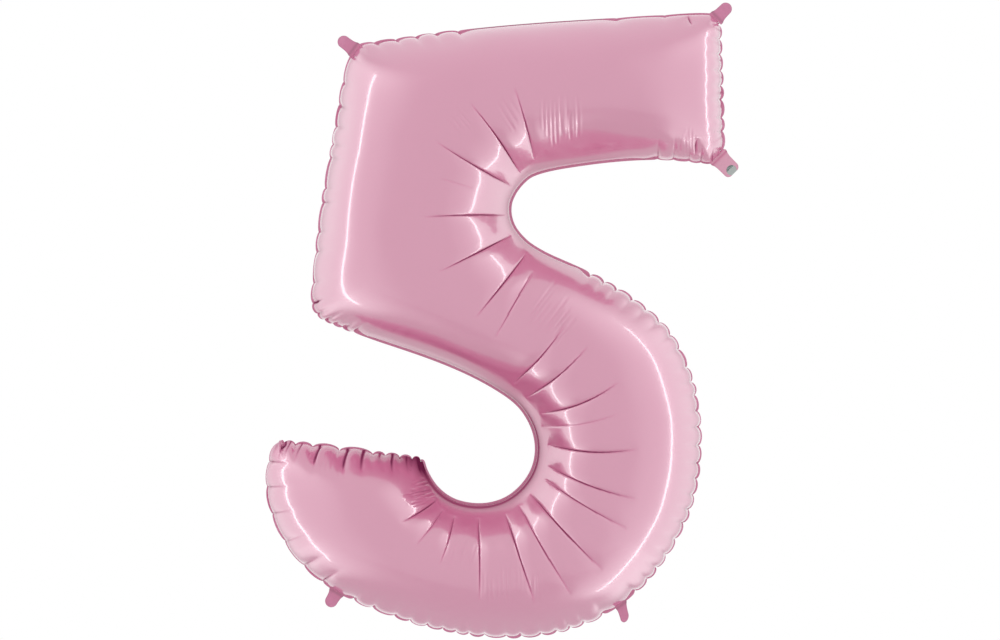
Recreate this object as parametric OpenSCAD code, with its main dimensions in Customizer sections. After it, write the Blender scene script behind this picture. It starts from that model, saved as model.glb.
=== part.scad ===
// Inflated foil number balloon, the digit 5.
// Two digit-shaped foil panels are heat-sealed face to face along a flat seam.
// The same foil runs out past the seam in four hanging tabs and a filling tail
// that holds a flat two-film valve. X is to the right, Z is up, the front faces -Y,
// and the seam plane is y = 0.

/* [Digit] */
// Height of the digit, from the lowest to the highest point of its seam
digit_h = 905; // [600:5:1200]
// Width of the digit, from the leftmost to the rightmost point of its seam
digit_w = 664; // [450:2:900]
// Depth of the filled stroke, front to back
depth = 205; // [120:5:240]
// Length over which each end of the stroke rounds down to its seam
end_run = 95; // [60:5:140]

/* [Foil] */
// Width of the flat heat-sealed margin round the digit
seam_w = 6; // [4:0.5:10]
// Thickness of one foil ply, drawn thicker than real foil
ply_t = 0.5; // [0.3:0.1:0.8]
// Extra room beside each fold line, past what the plies need to fold square
fold_clear = 0.1; // [0.05:0.05:0.5]

/* [Hanging tabs] */
// Width of the hanging tabs
tab_w = 18; // [12:1:24]
// Width of the bottom right hanging tab, which is cut narrower
narrow_tab_w = 14; // [10:1:20]
// Length of a top hanging tab, from its fold line to its tip
top_tab_l = 26; // [18:1:36]
// Length of a bottom hanging tab, from its fold line to its tip
bottom_tab_l = 23; // [16:1:32]
// Direction that the top left tab points in, in degrees from +X towards +Z
top_left_angle = 143; // [120:1:160]
// Direction that the top right tab points in
top_right_angle = 45; // [20:1:70]
// Degrees that the bottom right tab leans from square to its seam
bottom_right_lean = -20; // [-30:1:30]

/* [Filling tail] */
// Width of the filling tail
tail_w = 25; // [20:0.5:34]
// Length of the filling tail, from its fold line to its tip
tail_l = 30.5; // [25:0.5:60]
// Radius of the filling tail's two tip corners
tail_corner_r = 7; // [4:0.5:9]
// Direction that the filling tail points in
tail_angle = -45; // [-70:1:-20]
// Diameter of the round filling notch in the tail's front ply
notch_d = 15; // [10:0.5:18]

/* [Valve] */
// Thickness of one valve film, drawn thicker than real film
film_t = 0.2; // [0.1:0.05:0.3]
// Distance from each side of the tail to the valve film's side
valve_side = 3; // [2:0.5:5]
// Length of the valve inside the balloon, from the tail's fold line
valve_l = 150; // [80:5:200]
// How far the valve's mouth stops short of the notch's centre
mouth_back = 3; // [1:0.5:4]

/* [Hidden] */

pink = "#E3B4C8";
silver = "#B9BDC2";
clear_film = "#DDE6EA";

// The guide points below are in millimetres on a digit of this size.
guide_h = 905;
guide_w = 664;
// Fold lines sit half this gap from the seam's edge and from the tab's root.
fold_gap = 2 * (ply_t + film_t + fold_clear);
// The notch breaks the tip's edge, and its wall covers over three quarters of a circle.
notch_lip = 0.38 * notch_d;
valve_w = tail_w - 2 * valve_side;
mouth_end = tail_l - notch_lip - mouth_back;
rings_per_guide = 2;
section_steps = 14;
round_fn = 64;

function place(p) = [p[0] * digit_w / guide_w, p[1] * digit_h / guide_h];
function heading(a) = [cos(a), sin(a)];
function across(a) = [-sin(a), cos(a)];

// Fold lines' centres for the tabs at the stroke's corners
top_left_root = place([-216, 853]);
top_right_root = place([311, 899]);
tail_root = place([314, 695]);

// End of a seam's straight edge where a tab's fold line cuts the corner off
function cut_end(root, a, w, side) = root - heading(a) * fold_gap / 2 + across(a) * side * w / 2;
top_left_low = cut_end(top_left_root, top_left_angle, tab_w, 1);
top_left_high = cut_end(top_left_root, top_left_angle, tab_w, -1);
top_right_high = cut_end(top_right_root, top_right_angle, tab_w, 1);
top_right_low = cut_end(top_right_root, top_right_angle, tab_w, -1);
tail_high = cut_end(tail_root, tail_angle, tail_w, 1);
tail_low = cut_end(tail_root, tail_angle, tail_w, -1);

// Guide points of the two sides of the stroke, from the bar's end round to the tail's end.
// The first of a pair is on the top, left and inner side, the second across the stroke from it.
// Each side is a cubic B-spline over its points, and a point used three times is a corner.
GUIDES = [
    [top_right_low, tail_high],
    [top_right_low, tail_high],
    [top_right_low, tail_high],
    [top_right_high, tail_low],
    [top_right_high, tail_low],
    [top_right_high, tail_low],
    [place([292, 905]), place([290, 687])],
    [place([268, 904]), place([268, 690])],
    [place([230, 902]), place([245, 692])],
    [place([170, 898]), place([212, 693])],
    [place([80, 893]), place([162, 690])],
    [place([-10, 886]), place([115, 684])],
    [place([-100, 876]), place([70, 677])],
    [top_left_high, place([44, 669])],
    [top_left_high, place([36, 663])],
    [top_left_high, place([29, 656])],
    [top_left_low, place([24, 650])],
    [top_left_low, place([20, 644])],
    [top_left_low, place([17, 638])],
    [place([-231, 815]), place([14, 631])],
    [place([-241, 750]), place([13, 623])],
    [place([-253, 685]), place([13, 615])],
    [place([-264, 620]), place([15, 606])],
    [place([-271, 560]), place([18, 598])],
    [place([-275, 515]), place([23, 590])],
    [place([-279, 482]), place([30, 582])],
    [place([-266, 462]), place([38, 574])],
    [place([-232, 449]), place([50, 566])],
    [place([-185, 431]), place([68, 556])],
    [place([-135, 415]), place([94, 545])],
    [place([-85, 397]), place([128, 530])],
    [place([-40, 377]), place([168, 508])],
    [place([-5, 357]), place([208, 481])],
    [place([22, 338]), place([244, 446])],
    [place([38, 314]), place([268, 403])],
    [place([46, 292]), place([284, 350])],
    [place([48, 270]), place([289, 290])],
    [place([43, 246]), place([286, 226])],
    [place([30, 225]), place([265, 160])],
    [place([10, 206]), place([226, 97])],
    [place([-16, 196]), place([174, 46])],
    [place([-42, 195]), place([107, 12])],
    [place([-66, 200]), place([32, -1])],
    [place([-82, 209]), place([-42, 2])],
    [place([-94, 220]), place([-113, 16])],
    [place([-101, 230]), place([-180, 38])],
    [place([-105, 237]), place([-242, 65])],
    [place([-108, 243]), place([-292, 104])],
    [place([-110, 248]), place([-326, 152])],
    [place([-111, 252]), place([-344, 206])],
    [place([-112, 256]), place([-342, 245])],
    [place([-114, 260]), place([-336, 275])],
    [place([-118, 262]), place([-322, 287])],
    [place([-118, 262]), place([-322, 287])],
    [place([-118, 262]), place([-322, 287])]];
// Guides on the outer side where the two bottom tabs leave the seam
bottom_right_seat = 40;
bottom_left_seat = 46;

// Cubic B-spline weights of four neighbouring guide points
function weights(t) = [
    pow(1 - t, 3) / 6,
    (3 * pow(t, 3) - 6 * t * t + 4) / 6,
    (-3 * pow(t, 3) + 3 * t * t + 3 * t + 1) / 6,
    pow(t, 3) / 6];
function on_side(side, i, t) = weights(t) * [for (k = [0:3]) GUIDES[i + k][side]];
last_span = len(GUIDES) - 4;
RIBS = concat(
    [for (i = [0:last_span], k = [0:rings_per_guide - 1])
        [for (side = [0, 1]) on_side(side, i, k / rings_per_guide)]],
    [[for (side = [0, 1]) on_side(side, last_span, 1)]]);
last_rib = len(RIBS) - 1;

// Distance from a point to the nearer of the stroke's two end seams
function from_edge(p, e) =
    let (d = e[1] - e[0])
    norm(p - e[0] - d * max(0, min(1, (p - e[0]) * d / (d * d))));
function from_end(p) = min(from_edge(p, RIBS[0]), from_edge(p, RIBS[last_rib]));
// Half depth of the stroke at a distance from its end's seam, a quarter ellipse up to full depth
function half_depth(run) = depth / 2 * sqrt(1 - pow(1 - min(1, max(0, run) / end_run), 2));

// One side of the foil across one rib: flat margin, half ellipse, flat margin.
// lift is the height of the flat margin, and inset is how far in the curve starts past the seam.
function section(i, lift, inset) =
    let (a = RIBS[i][0], b = RIBS[i][1], margin = (seam_w + inset) / norm(b - a))
    let (curve = [for (k = [0:section_steps]) let (turn = 180 * k / section_steps)
        [margin + (1 - 2 * margin) * (1 - cos(turn)) / 2, sin(turn)]])
    [for (q = concat([[0, 0]], curve, [[1, 0]]))
        let (p = a + (b - a) * q[0])
        [p[0], lift + q[1] * half_depth(from_end(p) - seam_w - inset), p[1]]];
across_n = section_steps + 3;
skin_n = across_n * (last_rib + 1);

// Front foil panel as one closed shell: outer skin, inner skin, and the rim that joins them.
// facing is -1 for the front panel and 1 for the back panel.
module panel(facing) {
    skins = [for (skin = [[ply_t, 0], [0, ply_t]], i = [0:last_rib])
        each [for (p = section(i, skin[0], skin[1])) [p[0], facing * p[1], p[2]]]];
    quads = [for (i = [0:last_rib - 1], k = [0:across_n - 2])
        let (q = i * across_n + k) [q, q + across_n, q + across_n + 1, q + 1]];
    rim = concat(
        [for (k = [0:across_n - 2]) [k, k + 1]],
        [for (i = [0:last_rib - 1]) [(i + 1) * across_n - 1, (i + 2) * across_n - 1]],
        [for (k = [across_n - 1:-1:1]) [last_rib * across_n + k, last_rib * across_n + k - 1]],
        [for (i = [last_rib:-1:1]) [i * across_n, (i - 1) * across_n]]);
    inner = [1, 1, 1] * skin_n;
    shell = concat(
        [for (q = quads) each [[q[0], q[1], q[2]], [q[0], q[2], q[3]]]],
        [for (q = quads) each [[q[2], q[1], q[0]] + inner, [q[3], q[2], q[0]] + inner]],
        [for (e = rim) each [[e[0], e[1], e[1] + skin_n], [e[0], e[1] + skin_n, e[0] + skin_n]]]);
    faces = facing < 0 ? shell : [for (f = shell) [f[2], f[1], f[0]]];
    color(pink) polyhedron(points = skins, faces = faces, convexity = 10);
}

// Puts a flat shape, drawn with +X along a tab, into the seam plane as a sheet from y = low to high.
module sheet(root, a, low, high) {
    translate([root[0], high, root[1]]) rotate([90, 0, 0]) rotate([0, 0, a])
        linear_extrude(high - low) children();
}

// Tab with a round tip, whose tip may lean to one side
module tongue(l, w, lean) {
    start = fold_gap / 2;
    tip = [l - w / 2, tan(lean) * (l - w / 2 - start)];
    polygon([[start, -w / 2], [tip[0], tip[1] - w / 2], [tip[0], tip[1] + w / 2], [start, w / 2]]);
    translate(tip) circle(d = w, $fn = round_fn);
}

module tab_ply(root, a, l, facing, w = tab_w, lean = 0) {
    color(pink) sheet(root, a, min(0, facing * ply_t), max(0, facing * ply_t)) tongue(l, w, lean);
}

module tail_outline() {
    straight = tail_l - tail_corner_r;
    translate([fold_gap / 2, -tail_w / 2]) square([straight - fold_gap / 2, tail_w]);
    translate([fold_gap / 2, tail_corner_r - tail_w / 2])
        square([tail_l - fold_gap / 2, tail_w - 2 * tail_corner_r]);
    for (s = [-1, 1]) translate([straight, s * (tail_w / 2 - tail_corner_r)])
        circle(tail_corner_r, $fn = round_fn);
}

module round_notch() {
    translate([tail_l - notch_lip, 0]) circle(d = notch_d, $fn = round_fn);
}

// A stretch of one valve film along the tail's centre line
module valve_strip(from, to, facing) {
    color(clear_film)
        sheet(tail_root, tail_angle, min(0, facing * film_t), max(0, facing * film_t))
            translate([from, -valve_w / 2]) square([to - from, valve_w]);
}

module filling_tail_ply(facing) {
    near = facing * film_t;
    far = facing * (film_t + ply_t);
    color(facing < 0 ? pink : silver)
        sheet(tail_root, tail_angle, min(near, far), max(near, far))
            difference() {
                tail_outline();
                if (facing < 0) round_notch();
            }
}

// A bottom tab's seat: where its fold line's centre lies on the outer side, and the way it points
function seat_point(g) = (GUIDES[g - 1][1] + 4 * GUIDES[g][1] + GUIDES[g + 1][1]) / 6;
function seat_angle(g) = let (t = GUIDES[g + 1][1] - GUIDES[g - 1][1]) atan2(t[1], t[0]) + 90;
function seat_root(g) = seat_point(g) + heading(seat_angle(g)) * (fold_gap / 2 + 2 * fold_clear);

module top_left_tab(facing) {
    tab_ply(top_left_root, top_left_angle, top_tab_l, facing);
}

module top_right_tab(facing) {
    tab_ply(top_right_root, top_right_angle, top_tab_l, facing);
}

module bottom_left_tab(facing) {
    tab_ply(seat_root(bottom_left_seat), seat_angle(bottom_left_seat), bottom_tab_l, facing);
}

module bottom_right_tab(facing) {
    tab_ply(seat_root(bottom_right_seat), seat_angle(bottom_right_seat), bottom_tab_l, facing,
        narrow_tab_w, bottom_right_lean);
}

// The row's origin is the middle of the top left tab, which the balloon hangs by.
hang_point = top_left_root + heading(top_left_angle) * top_tab_l / 2;
module hung() {
    translate([-hang_point[0], 0, -hang_point[1]]) children();
}

hung() panel(-1);  // front_panel
hung() panel(1);  // back_panel
hung() valve_strip(-valve_l, -fold_gap / 2, -1);  // valve_inner_front_film
hung() valve_strip(-valve_l, -fold_gap / 2, 1);  // valve_inner_back_film
hung() filling_tail_ply(-1);  // filling_tail_front_ply
hung() filling_tail_ply(1);  // filling_tail_back_ply
hung() valve_strip(fold_gap / 2, mouth_end, -1);  // valve_mouth_front_film
hung() valve_strip(fold_gap / 2, mouth_end, 1);  // valve_mouth_back_film
hung() top_left_tab(-1);  // top_left_tab_front_ply
hung() top_left_tab(1);  // top_left_tab_back_ply
hung() top_right_tab(-1);  // top_right_tab_front_ply
hung() top_right_tab(1);  // top_right_tab_back_ply
hung() bottom_left_tab(-1);  // bottom_left_tab_front_ply
hung() bottom_left_tab(1);  // bottom_left_tab_back_ply
hung() bottom_right_tab(-1);  // bottom_right_tab_front_ply
hung() bottom_right_tab(1);  // bottom_right_tab_back_ply
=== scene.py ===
"""Filled foil number balloon, the digit 5: two foil panels heat-sealed face to face,
four hanging tabs, and a filling tail with a flat film valve, in glossy pastel pink."""

import math

import bpy
import numpy as np
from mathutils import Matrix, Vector


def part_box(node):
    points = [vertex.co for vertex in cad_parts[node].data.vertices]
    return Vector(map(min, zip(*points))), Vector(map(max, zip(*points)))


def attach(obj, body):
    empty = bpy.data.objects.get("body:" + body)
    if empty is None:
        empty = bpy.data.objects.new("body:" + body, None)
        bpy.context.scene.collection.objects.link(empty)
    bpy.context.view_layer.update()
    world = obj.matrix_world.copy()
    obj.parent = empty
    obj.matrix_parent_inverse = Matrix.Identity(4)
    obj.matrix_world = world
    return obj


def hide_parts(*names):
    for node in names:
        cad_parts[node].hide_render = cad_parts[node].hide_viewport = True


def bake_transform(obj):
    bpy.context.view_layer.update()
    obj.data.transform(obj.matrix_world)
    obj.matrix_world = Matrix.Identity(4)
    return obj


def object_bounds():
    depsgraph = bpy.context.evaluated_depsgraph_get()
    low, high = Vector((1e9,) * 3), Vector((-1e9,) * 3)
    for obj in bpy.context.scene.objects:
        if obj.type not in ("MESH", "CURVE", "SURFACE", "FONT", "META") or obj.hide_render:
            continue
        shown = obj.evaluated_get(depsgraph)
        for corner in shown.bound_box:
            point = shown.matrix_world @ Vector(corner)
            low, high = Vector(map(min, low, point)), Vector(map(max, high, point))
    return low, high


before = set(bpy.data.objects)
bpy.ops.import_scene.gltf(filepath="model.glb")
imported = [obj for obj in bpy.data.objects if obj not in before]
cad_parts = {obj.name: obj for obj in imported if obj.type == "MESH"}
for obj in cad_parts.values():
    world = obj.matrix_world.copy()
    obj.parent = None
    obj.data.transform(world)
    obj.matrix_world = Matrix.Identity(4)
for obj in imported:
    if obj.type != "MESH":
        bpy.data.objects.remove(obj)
cad_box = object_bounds()

# ---------------------------------------------------------------- camera
# A long lens square to the balloon's front, so that the seam plane lies parallel to the view.
# The view is 1.447 m wide at the seam, and its middle lies a little right of and above the digit's.
VIEW_WIDTH = 1.447
VIEW_RIGHT = 0.0066
VIEW_UP = 0.0080
LENS = 0.240
SENSOR = 0.036
panel_low, panel_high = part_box("front_panel")
view_centre = Vector((
    (panel_low.x + panel_high.x) / 2 + VIEW_RIGHT,
    0,
    (panel_low.z + panel_high.z) / 2 + VIEW_UP,
))
camera_data = bpy.data.cameras.new("camera")
camera_data.lens = LENS * 1000
camera_data.sensor_width = SENSOR * 1000
camera_data.clip_end = 60
camera = bpy.data.objects.new("camera", camera_data)
camera.location = view_centre - Vector((0, VIEW_WIDTH * LENS / SENSOR, 0))
camera.rotation_euler = (math.radians(90), 0, 0)
bpy.context.scene.collection.objects.link(camera)
bpy.context.scene.camera = camera

# ---------------------------------------------------------------- seam outline
# The digit's outline is cut by a die and sealed along its edge. The guides are the part's own,
# in millimetres: a point on the top and inner side, and the point across the stroke from it.
# Each side is a cubic B-spline over its points, and a point used three times is a corner.
MM = 0.001
PLY = 0.5
FILM = 0.2
FOLD_CLEAR = 0.1
FOLD_GAP = 2 * (PLY + FILM + FOLD_CLEAR)
SEAM = 6.0
TAB_W = 18.0
NARROW_TAB_W = 14.0
TAIL_W = 25.0


def heading(angle):
    """The way that an angle in degrees points, from right towards up."""
    return np.array([math.cos(math.radians(angle)), math.sin(math.radians(angle))])


def across(angle):
    """The way to the left of that heading."""
    return np.array([-math.sin(math.radians(angle)), math.cos(math.radians(angle))])


TOP_LEFT = (np.array([-216.0, 853.0]), 143.0)
TOP_RIGHT = (np.array([311.0, 899.0]), 45.0)
TAIL = (np.array([314.0, 695.0]), -45.0)


def cut_end(corner, width, side):
    """One end of the fold line at the root of a tab or the tail."""
    root, angle = corner
    return tuple(root - heading(angle) * FOLD_GAP / 2 + across(angle) * side * width / 2)


right_low, right_high = cut_end(TOP_RIGHT, TAB_W, -1), cut_end(TOP_RIGHT, TAB_W, 1)
left_low, left_high = cut_end(TOP_LEFT, TAB_W, 1), cut_end(TOP_LEFT, TAB_W, -1)
tail_low, tail_high = cut_end(TAIL, TAIL_W, -1), cut_end(TAIL, TAIL_W, 1)
GUIDES = np.array(
    [(right_low, tail_high)] * 3
    + [(right_high, tail_low)] * 3
    + [
        ((292, 905), (290, 687)), ((268, 904), (268, 690)), ((230, 902), (245, 692)),
        ((170, 898), (212, 693)), ((80, 893), (162, 690)), ((-10, 886), (115, 684)),
        ((-100, 876), (70, 677)),
        (left_high, (44, 669)), (left_high, (36, 663)), (left_high, (29, 656)),
        (left_low, (24, 650)), (left_low, (20, 644)), (left_low, (17, 638)),
        ((-231, 815), (14, 631)), ((-241, 750), (13, 623)), ((-253, 685), (13, 615)),
        ((-264, 620), (15, 606)), ((-271, 560), (18, 598)), ((-275, 515), (23, 590)),
        ((-279, 482), (30, 582)), ((-266, 462), (38, 574)), ((-232, 449), (50, 566)),
        ((-185, 431), (68, 556)), ((-135, 415), (94, 545)), ((-85, 397), (128, 530)),
        ((-40, 377), (168, 508)), ((-5, 357), (208, 481)), ((22, 338), (244, 446)),
        ((38, 314), (268, 403)), ((46, 292), (284, 350)), ((48, 270), (289, 290)),
        ((43, 246), (286, 226)), ((30, 225), (265, 160)), ((10, 206), (226, 97)),
        ((-16, 196), (174, 46)), ((-42, 195), (107, 12)), ((-66, 200), (32, -1)),
        ((-82, 209), (-42, 2)), ((-94, 220), (-113, 16)), ((-101, 230), (-180, 38)),
        ((-105, 237), (-242, 65)), ((-108, 243), (-292, 104)), ((-110, 248), (-326, 152)),
        ((-111, 252), (-344, 206)), ((-112, 256), (-342, 245)), ((-114, 260), (-336, 275)),
    ]
    + [((-118, 262), (-322, 287))] * 3,
    float,
)


def rail(side, place):
    """Points of one side of the stroke, at places counted in guides."""
    first = np.clip(place.astype(int), 0, len(GUIDES) - 4)
    t = (place - first)[:, None]
    weights = np.concatenate(
        [(1 - t) ** 3, 3 * t**3 - 6 * t**2 + 4, -3 * t**3 + 3 * t**2 + 3 * t + 1, t**3], 1
    ) / 6
    four = np.stack([GUIDES[first + k, side] for k in range(4)], 1)
    return np.einsum("nk,nkc->nc", weights, four)


# The foil's ribs fan out from the two notches, as its creases do. Each pair says which places
# of the inner and the outer side a rib joins, and the ribs between are even.
FAN = np.array([
    (0, 0), (3, 3), (8.4, 9.2), (10.4, 12.4), (13, 14), (16, 15.2), (20.4, 17.6), (22, 20.3),
    (26, 23.3), (29.2, 25.8), (30.4, 27.6), (31.6, 30.0), (32.9, 32.8), (34.3, 35.6),
    (35.7, 37.2), (37.3, 39.1), (38.8, 40.9), (40.2, 42.6), (41.4, 44.2), (43, 46.5),
    (46, 49.3), (52, 52),
])
# Ribs are spaced evenly, but closer near the two ends, and one lies on each sharp corner.
CORNERS = ((3, 13, 16), (3,))
RIBS = 1000
COLUMNS = 96
TRIALS = 8000
BLUR = 161
END_CLOSER = 3
END_FINE = 16.0
knot = np.linspace(0, len(FAN) - 1, TRIALS)
places = [
    np.convolve(
        np.pad(np.interp(knot, np.arange(len(FAN)), FAN[:, side]), BLUR // 2, "reflect",
               reflect_type="odd"),
        np.ones(BLUR) / BLUR, "valid",
    )
    for side in (0, 1)
]
trial = np.stack([rail(side, np.clip(places[side], 0, len(GUIDES) - 3)) for side in (0, 1)], 1)


def from_line(points, a, b):
    """Distance of points from the straight edge between a and b."""
    along = np.clip(((points - a) @ (b - a)) / ((b - a) @ (b - a)), 0, 1)
    return np.linalg.norm(points - a - along[..., None] * (b - a), axis=-1)


end_edges = (trial[0], trial[-1])
to_end = np.min([from_line(trial.mean(1), *edge) for edge in end_edges], 0)
inside = np.flatnonzero(to_end >= SEAM)
inside = slice(inside[0], inside[-1] + 1)
stride = np.linalg.norm(np.diff(trial[inside], axis=0), axis=2).mean(1)
closer = 1 + END_CLOSER * np.exp(-(to_end[inside][1:] - SEAM) / END_FINE)
run = np.concatenate([[0], np.cumsum(stride * closer)])
rib_run = np.linspace(0, run[-1], RIBS)
rib_places = []
for side in (0, 1):
    place = np.interp(rib_run, run, places[side][inside])
    for corner in CORNERS[side]:
        place[np.abs(place - corner).argmin()] = corner
    rib_places.append(place)
rib_ends = np.stack([rail(side, rib_places[side]) for side in (0, 1)], 1)
rib_span = rib_ends[:, 1] - rib_ends[:, 0]
rib_length = np.linalg.norm(rib_span, axis=1)

# The edge's own length runs from the bar's end along the inner side, over the tail's end and
# back along the outer side. Runs of it pucker in cells, and a cell's ends pull a pleat inwards.
EDGE_POINTS = 6000
edge_places = np.linspace(0, len(GUIDES) - 3, EDGE_POINTS)
edge_line = np.concatenate([rail(0, edge_places), rail(1, edge_places[::-1])])
edge_run = np.concatenate([[0], np.cumsum(np.linalg.norm(np.diff(edge_line, axis=0), axis=1))])
INNER_RUN, OUTER_RUN = edge_run[:EDGE_POINTS], edge_run[EDGE_POINTS:][::-1]
edge_total = edge_run[-1] + np.linalg.norm(edge_line[0] - edge_line[-1])


def inner(place):
    """Length along the edge at a place on the top and inner side."""
    return float(np.interp(place, edge_places, INNER_RUN))


def outer(place):
    """Length along the edge at a place on the outer side."""
    return float(np.interp(place, edge_places, OUTER_RUN))


TAIL_END, BAR_END = inner(52), outer(0)
tail_width = float(np.linalg.norm(GUIDES[-1, 1] - GUIDES[-1, 0]))
# Each run: from, to, shortest and longest cell, how far its puckers stand out and cut in,
# its pleats' length and depth, and the width of the weld that shows.
PUCKERED = (
    (inner(3.2), inner(8), 34, 52, 0.4, 1.2, 4, 0.4, 3.4),
    (inner(10.6), inner(12.8), 22, 34, 0.8, 2.4, 6, 0.8, 4.4),
    (inner(16.2), inner(24), 19, 46, 0.6, 2.8, 7, 1.1, 4.0),
    (inner(24), inner(26.3), 11, 18, 0.6, 2.8, 9, 1.5, 4.4),
    (outer(45.4), outer(51.6), 28, 44, 0.5, 3.2, 30, 1.3, 3.4),
    (outer(39.4), outer(44.6), 18, 32, 0.7, 5.4, 4, 0.9, 5.2),
    (outer(29.0), outer(38.6), 19, 29, 0.8, 5.4, 3, 0.9, 5.4),
    (outer(3.4), outer(7.6), 13, 19, 0.3, 2.2, 15, 1.4, 3.4),
    (BAR_END + 4, edge_total - 4, 19, 27, 0.6, 5.4, 8, 1.3, 5.4),
)
# On straight runs the filled foil stands over most of its weld, and over half of it in a notch.
NARROW_WELD = 1.4
NOTCH_WELD = 2.8
NOTCHES = ((inner(27), inner(50.5), NOTCH_WELD), (outer(8.5), outer(28), NOTCH_WELD))
TAIL_WELD = 3.4
WELD_EASE = 14.0


def weld_width(at):
    """Width of the weld that shows at lengths along the edge."""
    width = np.full(np.shape(at), NARROW_WELD)
    runs = [(min(run[:2]), max(run[:2]), run[-1]) for run in PUCKERED + NOTCHES]
    for low, high, weld in runs + [(TAIL_END, TAIL_END + tail_width, TAIL_WELD)]:
        beyond = np.maximum(0, np.maximum(low - at, at - high))
        eased = NARROW_WELD + (weld - NARROW_WELD) * np.exp(-((beyond / WELD_EASE) ** 2))
        width = np.maximum(width, eased)
    return width


rib_s = np.stack([
    np.interp(rib_places[0], edge_places, INNER_RUN),
    np.interp(rib_places[1], edge_places, OUTER_RUN),
], 1)

# A rib reaches from the inner edge of one seam to the inner edge of the other, in equal turns
# of a half circle, so that its points are even on the round of the filled foil.
edge_way = np.gradient(rib_ends, axis=0)
slant = np.abs(
    rib_span[:, None, 0] * edge_way[..., 1] - rib_span[:, None, 1] * edge_way[..., 0]
) / np.linalg.norm(edge_way, axis=2)
inset = weld_width(rib_s) / np.maximum(slant, rib_length[:, None] / 2)
turn = (1 - np.cos(np.linspace(0, math.pi, COLUMNS))) / 2
share = inset[:, :1] + (1 - inset.sum(1))[:, None] * turn
plan = rib_ends[:, None, 0] + rib_span[:, None] * share[:, :, None]

# ---------------------------------------------------------------- filled form
# Gas pressure swells both panels alike. The square root of a pressed membrane's sag gives a
# round section in the stroke, and soft pillow corners where two seams meet.


def cotangent(p, q, r):
    """Half the cotangent of the angle at p, in the triangles p q r."""
    u, v = q - p, r - p
    cross = np.abs(u[..., 0] * v[..., 1] - u[..., 1] * v[..., 0]) + 1e-9
    return 0.5 * (u * v).sum(-1) / cross


p00, p10, p01, p11 = plan[:-1, :-1], plan[1:, :-1], plan[:-1, 1:], plan[1:, 1:]
hold_along = np.zeros((RIBS - 1, COLUMNS))
hold_along[:, :-1] += cotangent(p11, p00, p10)
hold_along[:, 1:] += cotangent(p00, p01, p11)
hold_over = np.zeros((RIBS, COLUMNS - 1))
hold_over[1:] += cotangent(p00, p10, p11)
hold_over[:-1] += cotangent(p11, p00, p01)
hold_slant = cotangent(p10, p00, p11) + cotangent(p01, p00, p11)
load = np.zeros((RIBS, COLUMNS))
for corner, third in ((p10, load[1:, :-1]), (p01, load[:-1, 1:])):
    u, v = corner - p00, p11 - p00
    patch = np.abs(u[..., 0] * v[..., 1] - u[..., 1] * v[..., 0]) / 6
    load[:-1, :-1] += patch
    load[1:, 1:] += patch
    third += patch
free = np.zeros((RIBS, COLUMNS), bool)
free[1:-1, 1:-1] = True
own = np.full((RIBS, COLUMNS), 1e-12)
PAIRS = (
    (np.s_[:-1, :], np.s_[1:, :], hold_along),
    (np.s_[:, :-1], np.s_[:, 1:], hold_over),
    (np.s_[:-1, :-1], np.s_[1:, 1:], hold_slant),
)
for a, b, hold in PAIRS:
    own[a] += hold
    own[b] += hold


def tension(x):
    """Pull of the membrane's neighbours on each of its free points."""
    out = np.zeros_like(x)
    for a, b, hold in PAIRS:
        pull = hold * (x[b] - x[a])
        out[b] += pull
        out[a] -= pull
    return out * free


# Conjugate gradients bring the membrane to rest under an even load of 2, which makes the
# middle of a long stroke as deep as it is wide.
sag = np.zeros((RIBS, COLUMNS))
rest = 2 * load * free
way = rest / own
gain = first_gain = (rest * way).sum()
while gain > 1e-10 * first_gain:
    pull = tension(way)
    length = gain / (way * pull).sum()
    sag += length * way
    rest -= length * pull
    eased = rest / own
    way, gain = eased + way * (rest * eased).sum() / gain, (rest * eased).sum()
rise = np.sqrt(np.maximum(sag, 0))
# Foil can't stretch, so where the stroke is widest it stays flatter than a circle.
FLATTEST = 121.0
rise = rise / (1 + (rise / FLATTEST) ** 6) ** (1 / 6)
# Round a notch the foil is slack along the seam, so it leaves the seam at a lower slope.
SLACK = 0.34
SLACK_RUN = ((40.0, 47.0), (52.0, 52.0))
SLACK_PLACES = ((29, 32, 49, 51.5), (7, 10, 25, 29))
in_from = np.stack([
    np.linalg.norm(plan - plan[:, :1], axis=2), np.linalg.norm(plan - plan[:, -1:], axis=2)
])
for side in (0, 1):
    slack = np.interp(rib_places[side], SLACK_PLACES[side], (0, 1, 1, 0))[:, None]
    slack = slack * slack * (3 - 2 * slack)
    reach = np.interp(rib_places[side], (34, 42), SLACK_RUN[side])[:, None]
    rise *= 1 - SLACK * slack * np.exp(-((in_from[side] / reach) ** 2))
# The bar's end is short and stiff, so it stands bluffer than a long stroke's side.
BLUFF = 0.25
BLUFF_RUN = 30.0
rise *= 1 + BLUFF * np.exp(-((from_line(plan, *end_edges[0]) / BLUFF_RUN) ** 2))

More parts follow.
